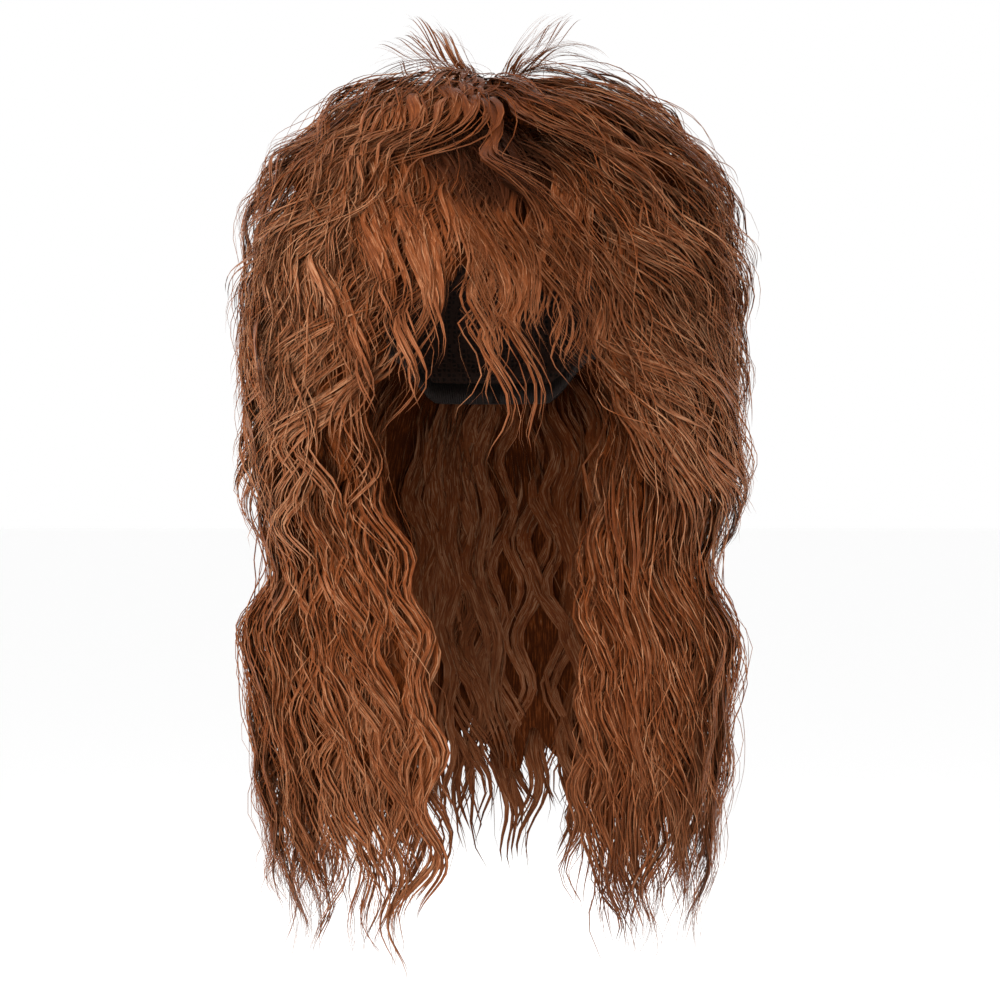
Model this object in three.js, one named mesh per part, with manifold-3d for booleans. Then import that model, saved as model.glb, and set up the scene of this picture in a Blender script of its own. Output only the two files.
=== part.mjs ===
// A long shaggy mullet wig of crimped fibre. An open stretch cap with an elastic band round its edge
// carries eight sections of hair, each a body of ridged, wavy locks with free locks fused to it.
// Millimetres, +Z up. The face looks along -Y and the wearer's left is +X. The origin is the inside
// of the cap at its top, where the crown of the head rests.
import * as THREE from "three";
import { mergeVertices } from "three/addons/utils/BufferGeometryUtils.js";
import Module from "manifold-3d";

const wasm = await Module();
wasm.setup();

// The head that the cap is made for
const headBreadth = 155;
const headLength = 195;
const headDome = 100; // from the vertex down to the head's widest level

// The cap's edge, as drops from the vertex, and its walls
const hairlineDrop = 62; // at the forehead
const templeDrop = 112; // the tab ahead of the ear
const earDrop = 94; // over the ear
const napeDrop = 146;
const capWall = 1.6; // the band's too
const bandHeight = 12;
const edgeGap = 0.35; // between the cap and its band
const seat = 1.8; // from the cap to the hair laid on it, so that flat facets stay clear of it

// The hair's outer form
const crownRise = 54; // above the vertex
const widestDrop = 56; // the level where the hair first reaches its full breadth
const hairBreadth = 296;
const frontReach = 122; // from the middle of the hair to the front of the fringe
const backReach = 138; // from the middle of the hair to its back
const middleSetBack = 5; // the hair's middle behind the head's

// The lowest tips, as drops from the vertex
const fringeDrop = 150;
const layerDrop = 236;
const tipDrop = 472;

// The hanging hair as a curtain round the neck
const frontThickness = 11;
const sideThickness = 30;
const backThickness = 30;
const fringeHalfWidth = 38; // degrees to either side of the face
const fringeBand = 0.64; // the drop of the fringe's even part, as a share of its longest wisps'
const sideEnd = 104; // degrees from the face where the sides meet the back
const partGap = 0.5; // degrees between two sections side by side
const tierGap = 1.2; // between a section and the one that lies over it

// The wave of the locks, and the furrows between them
const waveLength = 72;
const waveHeight = 5.5;
const furrowDepth = 9;
const pointLength = 28; // how far a lock's point hangs below the furrows beside it

const degrees = Math.PI / 180;
const hairColour = 0x7c472b;
const netColour = 0x241711;

const columnHeight = tipDrop - widestDrop;
const domeHeight = crownRise + widestDrop;
const domeRun = (Math.PI / 4) * (hairBreadth / 2 + domeHeight); // from the whorl to the widest level

// The hair's plan at each level below its widest: shares of half the breadth and of the two reaches.
// open is half the width of the face opening on each side, as a share of the curtain's half breadth.
const levels = [
  { down: 0.0, breadth: 1.0, front: 1.0, back: 1.0, openRight: 0.64, openLeft: 0.64 },
  { down: 0.13, breadth: 0.985, front: 0.97, back: 1.0, openRight: 0.61, openLeft: 0.61 },
  { down: 0.25, breadth: 0.985, front: 0.88, back: 0.98, openRight: 0.58, openLeft: 0.56 },
  { down: 0.34, breadth: 1.0, front: 0.72, back: 0.95, openRight: 0.46, openLeft: 0.46 },
  { down: 0.46, breadth: 0.91, front: 0.55, back: 0.9, openRight: 0.43, openLeft: 0.44 },
  { down: 0.56, breadth: 1.0, front: 0.47, back: 0.87, openRight: 0.3, openLeft: 0.42 },
  { down: 0.74, breadth: 0.94, front: 0.45, back: 0.84, openRight: 0.27, openLeft: 0.43 },
  { down: 0.88, breadth: 0.9, front: 0.44, back: 0.82, openRight: 0.25, openLeft: 0.46 },
  { down: 1.0, breadth: 0.84, front: 0.42, back: 0.78, openRight: 0.42, openLeft: 0.6 },
];

// The cap's edge from the forehead round to the nape
const capEdge = [
  { azimuth: 0, drop: hairlineDrop },
  { azimuth: 38, drop: hairlineDrop + 6 },
  { azimuth: 68, drop: templeDrop },
  { azimuth: 94, drop: earDrop },
  { azimuth: 128, drop: (earDrop + napeDrop) / 2 },
  { azimuth: 152, drop: napeDrop },
  { azimuth: 180, drop: napeDrop },
];

// Where each tier of hair ends, from the face round to the back: the crown as a share of the run from
// the whorl to the widest level, the layers and the lengths as shares of their lowest drops
const hems = [
  { azimuth: 0, crown: 0.4, layers: 0.84, lengths: 0.98 },
  { azimuth: 36, crown: 0.54, layers: 0.86, lengths: 1.0 },
  { azimuth: 64, crown: 0.82, layers: 0.9, lengths: 1.0 },
  { azimuth: 120, crown: 0.9, layers: 0.96, lengths: 0.96 },
  { azimuth: 180, crown: 0.95, layers: 1.0, lengths: 0.88 },
];

// How a tier comes out from under the one above, from 0 on the cap to 1 at the outer form. past is
// the run beyond the upper tier's hem, as a share of the run hidden under it.
const rises = [
  { past: -1.0, depth: 0.0 },
  { past: -0.9, depth: 0.1 },
  { past: -0.35, depth: 0.5 },
  { past: 0.12, depth: 0.78 },
  { past: 0.45, depth: 1.0 },
];
const crownHides = 56;
const layersHide = 176;
const rootShare = 0.9; // of the hidden run, where a tier's roots begin

const mix = (a, b, share) => a + (b - a) * share;

function ease(share) {
  const held = Math.min(1, Math.max(0, share));
  return held * held * (3 - 2 * held);
}

// One column of a table, eased from row to row and held at its two ends
function read(rows, key, column, at) {
  let i = 0;
  while (i < rows.length - 2 && at > rows[i + 1][key]) i += 1;
  const share = (at - rows[i][key]) / (rows[i + 1][key] - rows[i][key]);
  return mix(rows[i][column], rows[i + 1][column], ease(share));
}

// A repeatable unevenness from -1 to 1 for the nth lock
const uneven = (n) => Math.sin(n * 2.4 + 0.7) * Math.cos(n * 1.1);

// The angle round from the face, from 0 there to 180 at the back
const fromFace = (azimuth) => Math.abs(((azimuth + 540) % 360) - 180);

// A point on an upright oval whose middle lies on the Y axis, at an azimuth from the face
function onOval(azimuth, halfBreadth, front, back, middle, height) {
  const a = azimuth * degrees;
  const reach = Math.cos(a) > 0 ? front : back;
  return new THREE.Vector3(halfBreadth * Math.sin(a), middle - reach * Math.cos(a), height);
}

// A point a clearance outside the head's dome, at an angle down from the vertex
function onHead(azimuth, angle, out) {
  const spread = Math.sin(angle);
  const reach = (headLength / 2 + out) * spread;
  const height = (headDome + out) * Math.cos(angle) - headDome;
  return onOval(azimuth, (headBreadth / 2 + out) * spread, reach, reach, 0, height);
}

// The run from the whorl down to a drop from the vertex, and back to a share of the levels
const runTo = (drop) => domeRun + drop - widestDrop;
const shareDown = (run) => Math.max(0, run - domeRun) / columnHeight;

// The hair's outer form after a run from the whorl. A fringe holds its reach at every level.
function outerPoint(azimuth, run, fringe) {
  const angle = (Math.PI / 2) * Math.min(1, run / domeRun);
  const spread = Math.sin(angle);
  const down = shareDown(run);
  const front = fringe ? 1 : read(levels, "down", "front", down);
  return onOval(
    azimuth,
    (hairBreadth / 2) * read(levels, "down", "breadth", down) * spread,
    frontReach * front * spread,
    backReach * read(levels, "down", "back", down) * spread,
    middleSetBack,
    domeHeight * Math.cos(angle) - widestDrop - down * columnHeight,
  );
}

// The inside of the hair after the same run: on the cap above, and a curtain's inner side below
function innerPoint(azimuth, run, fringe) {
  const rest = capWall + seat;
  if (run <= domeRun) return onHead(azimuth, (Math.PI / 2) * (run / domeRun), rest);
  const down = shareDown(run);
  const settled = ease(down / 0.4);
  const front = fringe ? 1 : read(levels, "down", "front", down);
  const height = -widestDrop - down * columnHeight;
  const curtain = onOval(
    azimuth,
    (hairBreadth / 2) * read(levels, "down", "breadth", down) - sideThickness,
    frontReach * front - frontThickness,
    backReach * read(levels, "down", "back", down) - backThickness,
    middleSetBack,
    height,
  );
  const head = onHead(azimuth, Math.PI / 2, rest);
  head.z = mix(height + widestDrop - headDome, height, settled);
  return head.lerp(curtain, settled);
}

// A point in the hair: azimuth, run from the whorl, and depth from 0 on the cap to 1 outside
const hairPoint = (azimuth, run, depth, fringe) =>
  innerPoint(azimuth, run, fringe).lerp(outerPoint(azimuth, run, fringe), depth);

// The sideways wave of the hair after a run, in degrees, in step between sections side by side
function sway(azimuth, run, offset = 0) {
  const a = azimuth * degrees;
  const phase = 2.2 * Math.sin(a) + 1.6 * Math.cos(2 * a) + offset;
  const swing = waveHeight * Math.sin((2 * Math.PI * run) / waveLength + phase);
  return (swing / (hairBreadth / 2) / degrees) * ease(run / domeRun);
}

// The three tiers. Each has a hem, the run hidden under the tier above, and the depths of its sides.
const hemAt = (column, azimuth) => read(hems, "azimuth", column, fromFace(azimuth));
const meeting = (past) => read(rises, "past", "depth", past);

const crownHem = (azimuth) => domeRun * hemAt("crown", azimuth);
const underCrown = (azimuth, run) => meeting((run - crownHem(azimuth)) / crownHides);
const layerHem = (azimuth) => runTo(layerDrop * hemAt("layers", azimuth));
const underLayers = (azimuth, run) => meeting((run - layerHem(azimuth)) / layersHide);
const lengthHem = (azimuth) => runTo((tipDrop - pointLength / 2) * hemAt("lengths", azimuth));
const atTips = (azimuth, run) => ease(1 + (run - lengthHem(azimuth)) / 90);

const crownTier = {
  root: () => 0,
  hem: crownHem,
  outer: () => 1,
  inner: underCrown,
};
const layerTier = {
  root: (azimuth) => crownHem(azimuth) - rootShare * crownHides,
  hem: layerHem,
  outer: underCrown,
  inner: underLayers,
};
const lengthTier = {
  root: (azimuth) => layerHem(azimuth) - rootShare * layersHide,
  hem: lengthHem,
  outer: (azimuth, run) => underLayers(azimuth, run) - 0.2 * atTips(azimuth, run),
  inner: (azimuth, run) => 0.5 * atTips(azimuth, run),
};

const fringeTier = {
  root: (azimuth) => crownHem(azimuth) - 0.5 * crownHides,
  hem: () => runTo(fringeBand * fringeDrop),
  outer: (azimuth, run) => 0.9 * underCrown(azimuth, run),
  inner: (azimuth, run) => 0.45 * ease(run / runTo(fringeBand * fringeDrop)),
  fringe: true,
};

// A point on a tier's inner or outer side, the outer cut by a furrow that always leaves some of the
// tier under it
function tierPoint(tier, azimuth, run, side, furrow) {
  const waved = azimuth + sway(azimuth, run);
  const inner = tier.inner(azimuth, run);
  if (side === "inner") return hairPoint(waved, run, inner, tier.fringe);
  const thickness = outerPoint(waved, run, tier.fringe).distanceTo(innerPoint(waved, run, tier.fringe));
  const outer = tier.outer(azimuth, run) - (tier === crownTier ? 0 : tierGap / thickness);
  return hairPoint(waved, run, Math.max(mix(inner, outer, 0.4), outer - furrow / thickness), tier.fringe);
}

// The run to a tier's edge: points at the ridges of its locks, and notches at the furrows
const edgeRun = (tier, azimuth, lock, ridge) =>
  tier.hem(azimuth) + pointLength * (ridge - 0.5 + 0.35 * ridge * uneven(lock));

// Moves each vertex of a three.js primitive, and welds those that meet
function shaped(geometry, place) {
  const spots = geometry.getAttribute("position");
  const spot = new THREE.Vector3();
  for (let i = 0; i < spots.count; i += 1) {
    const moved = place(spot.fromBufferAttribute(spots, i));
    spots.setXYZ(i, moved.x, moved.y, moved.z);
  }
  geometry.deleteAttribute("normal");
  geometry.deleteAttribute("uv");
  return mergeVertices(geometry, 1e-4);
}

// The same surface with each vertex pushed out until all the faces that meet at it have moved out by
// the clearance
function grown(geometry, clearance) {
  const copy = geometry.clone();
  const spots = copy.getAttribute("position");
  const corners = copy.index.array;
  const vertices = Array.from({ length: spots.count }, (_, i) => new THREE.Vector3().fromBufferAttribute(spots, i));
  const meetingFaces = vertices.map(() => []);
  for (let i = 0; i < corners.length; i += 3) {
    const face = [corners[i], corners[i + 1], corners[i + 2]];
    const normal = new THREE.Vector3();
    THREE.Triangle.getNormal(...face.map((corner) => vertices[corner]), normal);
    face.forEach((corner) => meetingFaces[corner].push(normal));
  }
  vertices.forEach((vertex, i) => {
    const push = new THREE.Vector3();
    for (let round = 0; round < 12; round += 1) {
      meetingFaces[i].forEach((normal) => push.addScaledVector(normal, Math.max(0, 1 - push.dot(normal))));
    }
    vertex.addScaledVector(push.clampLength(0, 3), clearance);
    spots.setXYZ(i, vertex.x, vertex.y, vertex.z);
  });
  return copy;
}

function solidOf(geometry) {
  return new wasm.Manifold(
    new wasm.Mesh({
      numProp: 3,
      vertProperties: geometry.getAttribute("position").array,
      triVerts: new Uint32Array(geometry.index.array),
    }),
  );
}

const joined = (solids) => solids.reduce((whole, solid) => whole.add(solid));

// The main body of a solid, without the crumbs that a cut may leave beside it
const mainBody = (solid) =>
  solid.decompose().reduce((most, body) => (body.volume() > most.volume() ? body : most));

// A shell from a sphere: its upper rows run down the outside to an edge, its lower rows back up inside
function domeShell(columns, rows, outside, inside) {
  const sphere = new THREE.SphereGeometry(1, columns, 2 * rows + 1);
  return shaped(sphere, (p) => {
    const row = Math.round((Math.acos(THREE.MathUtils.clamp(p.y, -1, 1)) / Math.PI) * (2 * rows + 1));
    const azimuth = Math.atan2(p.x, p.z) / degrees;
    return row <= rows ? outside(azimuth, row / rows) : inside(azimuth, (2 * rows + 1 - row) / rows);
  });
}

// A curtain of hair from a box: x runs across its locks, y from tips to roots, z from inside to out
function curtain({ tier, locks, rows, edges }) {
  const box = new THREE.BoxGeometry(1, 1, 1, 2 * locks, rows, 1);
  return shaped(box, (p) => {
    const across = p.x + 0.5;
    const along = 0.5 - p.y;
    const ridge = Math.abs(Math.sin(Math.PI * across * locks));
    const lock = Math.floor(across * locks);
    const middle = mix(...edges(domeRun), across);
    const run = mix(tier.root(middle), edgeRun(tier, middle, lock, ridge), along);
    const side = p.z > 0 ? "outer" : "inner";
    return tierPoint(tier, mix(...edges(run), across), run, side, furrowDepth * (1 - ridge));
  });
}

// A free lock from a cone, bent along its path, flat against the hair and drawn out to a point
function freeLock({ azimuth, lean = 0, from, to, rootDepth, tipDepth, width, phase, fringe = false }) {
  const sides = 5;
  const stations = 8;
  const flatness = 0.55;
  const step = 0.01;
  const centre = (along, lift = 0) => {
    const run = mix(from, to, along);
    const depth = mix(rootDepth, tipDepth, Math.sin((Math.PI / 2) * along)) + lift;
    return hairPoint(azimuth + lean * along + sway(azimuth, run, phase), run, depth, fringe);
  };
  return shaped(new THREE.ConeGeometry(1, 1, sides, stations), (p) => {
    const along = p.y + 0.5;
    const turn = Math.atan2(p.x, p.z);
    const flare = Math.hypot(p.x, p.z) < 1e-6 ? 0 : 1;
    const fullness = 0.7 + 0.3 * Math.sin(Math.PI * Math.min(1, along * 1.3 + 0.1));
    const half = (width / 2) * fullness * Math.pow(1 - along, 0.45) * flare;
    const middle = centre(along);
    const ahead = centre(along + step).sub(centre(along - step)).normalize();
    const lifted = centre(along, 0.05).sub(middle).normalize();
    const across = new THREE.Vector3().crossVectors(ahead, lifted).normalize();
    const out = new THREE.Vector3().crossVectors(across, ahead);
    return middle
      .addScaledVector(across, half * Math.sin(turn))
      .addScaledVector(out, half * flatness * Math.cos(turn));
  });
}

// The hollow cap, and the elastic band along its edge
const dropAt = (azimuth) => read(capEdge, "azimuth", "drop", fromFace(azimuth));
const angleAtDrop = (drop) => Math.acos((headDome - drop) / headDome);

function makeCap() {
  const edge = (azimuth) => angleAtDrop(dropAt(azimuth) - bandHeight - edgeGap);
  return domeShell(
    32,
    7,
    (azimuth, share) => onHead(azimuth, edge(azimuth) * share, capWall),
    (azimuth, share) => onHead(azimuth, edge(azimuth) * share, 0),
  );
}

function makeBand() {
  const corners = [
    { up: 0, out: 0 },
    { up: 0, out: capWall },
    { up: 1, out: capWall },
    { up: 1, out: 0 },
  ];
  return shaped(new THREE.TorusGeometry(2, 1, 4, 32), (p) => {
    const azimuth = Math.atan2(p.x, -p.y) / degrees;
    const ring = Math.hypot(p.x, p.y) - 2;
    const corner = corners[(Math.round(Math.atan2(p.z, ring) / (Math.PI / 2)) + 4) % 4];
    return onHead(azimuth, angleAtDrop(dropAt(azimuth) - bandHeight * corner.up), corner.out);
  });
}

// The crown: a ridged dome of short locks that fall from the whorl and end in points all round
function makeCrown() {
  const locks = 17;
  const place = (side) => (azimuth, share) => {
    const round = ((azimuth + 450) / 360) * locks;
    const ridge = Math.abs(Math.sin(round * Math.PI));
    const run = edgeRun(crownTier, azimuth, Math.floor(round), ridge) * share;
    return tierPoint(crownTier, azimuth, run, side, furrowDepth * (1 - ridge) * ease(share / 0.5));
  };
  return domeShell(2 * locks, 7, place("outer"), place("inner"));
}

// Tufts that stand off the crown: where each rises and how it leans, its roots and tip as shares of
// the run to the widest level, the depth it rises to, and its width
const tufts = [
  { azimuth: -96, lean: 50, from: 0.03, to: 0.24, rise: 1.22, width: 26 },
  { azimuth: -60, lean: -24, from: 0.12, to: 0.5, rise: 1.16, width: 28 },
  { azimuth: 84, lean: -36, from: 0.04, to: 0.3, rise: 1.2, width: 28 },
  { azimuth: 62, lean: 26, from: 0.14, to: 0.52, rise: 1.15, width: 28 },
  { azimuth: 176, lean: 24, from: 0.1, to: 0.5, rise: 1.16, width: 30 },
];

const makeTufts = () =>
  tufts.map((row, n) =>
    freeLock({
      ...row,
      from: row.from * domeRun,
      to: row.to * domeRun,
      rootDepth: 0.7,
      tipDepth: row.rise,
      phase: n,
    }),
  );

// The fringe: a curtain of short locks over the forehead, and longer wisps that fall from it. to is
// the drop of a wisp's tip as a share of the fringe's.
const wisps = [
  { azimuth: -30, lean: 3, to: 0.97, width: 23 },
  { azimuth: -18, lean: 4, to: 0.97, width: 21 },
  { azimuth: -9, lean: 2, to: 0.88, width: 20 },
  { azimuth: -1, lean: 2, to: 1.2, width: 20 },
  { azimuth: 10, lean: 3, to: 0.93, width: 21 },
  { azimuth: 20, lean: -2, to: 1.0, width: 23 },
  { azimuth: 31, lean: -3, to: 0.96, width: 24 },
];

function makeFringe() {
  const band = curtain({
    tier: fringeTier,
    locks: 8,
    rows: 8,
    edges: () => [-fringeHalfWidth, fringeHalfWidth],
  });
  const locks = wisps.map((row, n) =>
    freeLock({
      ...row,
      from: runTo(fringeDrop * (0.08 + 0.08 * (n % 2))),
      to: runTo(fringeDrop * row.to),
      rootDepth: 0.55,
      tipDepth: 0.86,
      phase: 0.9 * n,
      fringe: true,
    }),
  );
  return [band, ...locks];
}

// A side's azimuths from the back to the face, or from the face to the back. side is -1 for the
// wearer's right and 1 for the left.
function sideEdges(side) {
  const column = side < 0 ? "openRight" : "openLeft";
  return (run) => {
    const open = Math.asin(read(levels, "down", column, shareDown(run))) / degrees;
    return side < 0 ? [-sideEnd, -open] : [open, sideEnd];
  };
}

const backEdges = () => [sideEnd + partGap, 360 - sideEnd - partGap];

// Flicked ends that stand off a side's outline: from and to are drops from the widest level
const flicks = [
  { azimuth: 66, lean: 3, from: -46, to: 44, width: 26 },
  { azimuth: 82, lean: -4, from: -60, to: 6, width: 26 },
  { azimuth: 88, lean: 3, from: -10, to: 84, width: 28 },
  { azimuth: 74, lean: -2, from: 20, to: 132, width: 26 },
  { azimuth: 91, lean: -3, from: 30, to: 128, width: 24 },
];

function makeSideLayers(side) {
  const body = curtain({ tier: layerTier, locks: 6, rows: 9, edges: sideEdges(side) });
  const locks = flicks.map((row, n) =>
    freeLock({
      ...row,
      azimuth: side * row.azimuth,
      lean: side * row.lean,
      from: domeRun + row.from,
      to: domeRun + row.to,
      rootDepth: 0.7,
      tipDepth: 1.1,
      phase: 1.7 * n + side,
    }),
  );
  return [body, ...locks];
}

const makeSideLengths = (side) =>
  curtain({ tier: lengthTier, locks: 6, rows: 18, edges: sideEdges(side) });
const makeBackLayers = () => curtain({ tier: layerTier, locks: 8, rows: 9, edges: backEdges });
const makeNapeLengths = () => curtain({ tier: lengthTier, locks: 8, rows: 18, edges: backEdges });

// Sections are cut clear of those laid before them, and the fringe's roots of the head
const clear = 0.4;
const head = {
  room: solidOf(
    shaped(new THREE.SphereGeometry(1, 40, 20), (p) =>
      onHead(Math.atan2(p.x, p.z) / degrees, Math.acos(THREE.MathUtils.clamp(p.y, -1, 1)), capWall + seat / 2),
    ),
  ),
};

function section(pieces, others) {
  const cut = others.reduce((left, other) => left.subtract(other.room), joined(pieces.map(solidOf)));
  return { solid: mainBody(cut), room: joined(pieces.map((piece) => solidOf(grown(piece, clear)))) };
}

const crown = section([makeCrown(), ...makeTufts()], []);
const fringe = section(makeFringe(), [crown, head]);
const rightLayers = section(makeSideLayers(-1), [crown, fringe]);
const leftLayers = section(makeSideLayers(1), [crown, fringe]);
const backLayers = section([makeBackLayers()], [crown, rightLayers, leftLayers]);
const outside = [crown, fringe, rightLayers, leftLayers, backLayers];
const rightLengths = section([makeSideLengths(-1)], outside);
const leftLengths = section([makeSideLengths(1)], outside);
const napeLengths = section([makeNapeLengths()], [...outside, rightLengths, leftLengths]);

const hair = new THREE.MeshStandardMaterial({ color: hairColour, roughness: 0.55, metalness: 0 });
const net = new THREE.MeshStandardMaterial({ color: netColour, roughness: 0.85, metalness: 0 });

function meshOf(name, solid, material) {
  const { vertProperties, triVerts } = solid.getMesh();
  const geometry = new THREE.BufferGeometry();
  geometry.setAttribute("position", new THREE.BufferAttribute(new Float32Array(vertProperties), 3));
  geometry.setIndex(new THREE.BufferAttribute(new Uint32Array(triVerts), 1));
  geometry.computeVertexNormals();
  const mesh = new THREE.Mesh(geometry, material.clone());
  mesh.name = name;
  return mesh;
}

const wig = new THREE.Group();
wig.add(
  meshOf("cap", solidOf(makeCap()), net),
  meshOf("cap_band", solidOf(makeBand()), net),
  meshOf("crown_layers", crown.solid, hair),
  meshOf("fringe", fringe.solid, hair),
  meshOf("side_layers_right", rightLayers.solid, hair),
  meshOf("side_layers_left", leftLayers.solid, hair),
  meshOf("back_layers", backLayers.solid, hair),
  meshOf("side_lengths_right", rightLengths.solid, hair),
  meshOf("side_lengths_left", leftLengths.solid, hair),
  meshOf("nape_lengths", napeLengths.solid, hair),
);

export default wig;
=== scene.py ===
import bpy
import numpy as np
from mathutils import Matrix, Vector


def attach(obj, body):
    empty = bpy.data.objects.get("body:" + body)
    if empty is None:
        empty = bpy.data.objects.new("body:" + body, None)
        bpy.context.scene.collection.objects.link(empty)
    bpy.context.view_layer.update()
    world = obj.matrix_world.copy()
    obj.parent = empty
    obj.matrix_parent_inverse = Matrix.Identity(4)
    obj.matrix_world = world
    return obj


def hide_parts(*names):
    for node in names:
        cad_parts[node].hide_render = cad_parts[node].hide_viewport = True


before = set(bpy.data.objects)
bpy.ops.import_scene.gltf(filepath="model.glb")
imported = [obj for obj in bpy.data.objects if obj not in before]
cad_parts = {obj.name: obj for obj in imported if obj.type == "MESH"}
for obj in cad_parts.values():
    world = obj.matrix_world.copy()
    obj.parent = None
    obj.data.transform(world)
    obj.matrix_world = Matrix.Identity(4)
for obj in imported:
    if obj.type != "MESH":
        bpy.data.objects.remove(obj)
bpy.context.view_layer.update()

# The wig's form in metres, as in the solids: the head, the cap, and the hair's reach round them
form = {
    "headBreadth": 0.155,
    "headLength": 0.195,
    "headDome": 0.100,
    "hairlineDrop": 0.062,
    "templeDrop": 0.112,
    "earDrop": 0.094,
    "napeDrop": 0.146,
    "capWall": 0.0016,
    "bandHeight": 0.012,
    "seat": 0.0018,
    "crownRise": 0.054,
    "widestDrop": 0.056,
    "hairBreadth": 0.296,
    "frontReach": 0.122,
    "backReach": 0.138,
    "middleSetBack": 0.005,
    "fringeDrop": 0.150,
    "layerDrop": 0.236,
    "tipDrop": 0.472,
    "frontThickness": 0.011,
    "sideThickness": 0.030,
    "backThickness": 0.030,
    "pointLength": 0.028,
    "crownHides": 0.056,
    "layersHide": 0.176,
    "fringeBand": 0.64,  # the drop of the fringe's even part, as a share of its longest wisps'
    "fringeHalfWidth": 38,  # degrees to either side of the face
    "sideEnd": 104,  # degrees from the face where the sides meet the back
}
columnHeight = form["tipDrop"] - form["widestDrop"]
domeHeight = form["crownRise"] + form["widestDrop"]
domeRun = np.pi / 4 * (form["hairBreadth"] / 2 + domeHeight)  # from the whorl to the widest level
plumbRun = 1.2 * domeRun  # just below the widest level, where each lock's place across is measured

# The hair's plan at shares of the way from its widest level to the tips: its breadth and its reaches
# ahead and behind, as shares of the widest, and the sines of the azimuths where its two sides begin
levels = {
    "down": (0.0, 0.13, 0.25, 0.34, 0.46, 0.56, 0.74, 0.88, 1.0),
    "breadth": (1.0, 0.985, 0.985, 1.0, 0.91, 1.0, 0.94, 0.9, 0.84),
    "front": (1.0, 0.97, 0.88, 0.72, 0.55, 0.47, 0.45, 0.44, 0.42),
    "back": (1.0, 1.0, 0.98, 0.95, 0.9, 0.87, 0.84, 0.82, 0.78),
    "openRight": (0.64, 0.61, 0.58, 0.46, 0.43, 0.3, 0.27, 0.25, 0.42),
    "openLeft": (0.64, 0.61, 0.56, 0.46, 0.44, 0.42, 0.43, 0.46, 0.6),
}
# Where each tier ends, at degrees from the face: the crown as a share of the way to the widest level,
# the layers and the lengths as shares of their drops
hems = {
    "azimuth": (0, 36, 64, 120, 180),
    "crown": (0.4, 0.54, 0.82, 0.9, 0.95),
    "layers": (0.84, 0.86, 0.9, 0.96, 1.0),
    "lengths": (0.98, 1.0, 1.0, 0.96, 0.88),
}
# How a tier comes out from under the one above, by its way past that one's hem as a share of what is
# hidden, and how many metres sooner than in the solids, to close their step
rises = {"past": (-1.0, -0.9, -0.35, 0.12, 0.45), "depth": (0.0, 0.1, 0.5, 0.78, 1.0)}
sooner = {"fringe": 0.02, "layers": 0.032, "lengths": 0.06}
hiddenShare = 0.9  # of the hidden stretch, where a tier's hair starts
fringeHiddenShare = 0.5
fringeDepths = {"outer": 0.9, "inner": 0.45}
thinning = {"outer": 0.2, "inner": 0.5, "stretch": 0.09}  # of the lengths' depths, above their tips
# The drop of the cap's edge, at degrees from the face
capEdge = {
    "azimuth": (0, 38, 68, 94, 128, 152, 180),
    "drop": (
        form["hairlineDrop"],
        form["hairlineDrop"] + 0.006,
        form["templeDrop"],
        form["earDrop"],
        (form["earDrop"] + form["napeDrop"]) / 2,
        form["napeDrop"],
        form["napeDrop"],
    ),
}


def ease(share):
    held = np.clip(share, 0, 1)
    return held * held * (3 - 2 * held)


def fadeOut(value, start, stretch):
    return 1 - ease((value - start) / stretch)


def mix(a, b, share):
    return a + (b - a) * share


def readTable(table, key, column, at):
    # eased from row to row, and held past the first and last
    keys, values = np.array(table[key], float), np.array(table[column], float)
    row = np.clip(np.searchsorted(keys, at) - 1, 0, len(keys) - 2)
    share = (at - keys[row]) / (keys[row + 1] - keys[row])
    return mix(values[row], values[row + 1], ease(share))


def fromFace(azimuth):
    return np.abs((azimuth + 540) % 360 - 180)


def onOval(azimuth, halfBreadth, front, back, middle, height):
    # on an upright oval, x is the half breadth times the azimuth's sine, and y the reach times its cosine
    a = np.radians(azimuth)
    reach = np.where(np.cos(a) > 0, front, back)
    x, y, z = halfBreadth * np.sin(a), middle - reach * np.cos(a), height + 0 * a
    return np.stack([x, y, z], -1)


def onHead(azimuth, angle, out):
    # the head is an ellipsoid, here grown by a clearance
    spread = np.sin(angle)
    reach = (form["headLength"] / 2 + out) * spread
    height = (form["headDome"] + out) * np.cos(angle) - form["headDome"]
    return onOval(azimuth, (form["headBreadth"] / 2 + out) * spread, reach, reach, 0, height)


def runTo(drop):
    return domeRun + drop - form["widestDrop"]


def shareDown(run):
    return np.clip((run - domeRun) / columnHeight, 0, 1.2)


def levelAt(column, down):
    return readTable(levels, "down", column, down)


def outerForm(azimuth, run, fringe=False):
    # a quarter of an ellipsoid down to the widest level, then ovals whose size changes level by level
    angle = np.pi / 2 * np.minimum(1, run / domeRun)
    spread, down = np.sin(angle), shareDown(run)
    front = 1 if fringe else levelAt("front", down)
    return onOval(
        azimuth,
        form["hairBreadth"] / 2 * levelAt("breadth", down) * spread,
        form["frontReach"] * front * spread,
        form["backReach"] * levelAt("back", down) * spread,
        form["middleSetBack"],
        domeHeight * np.cos(angle) - form["widestDrop"] - down * columnHeight,
    )


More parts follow.
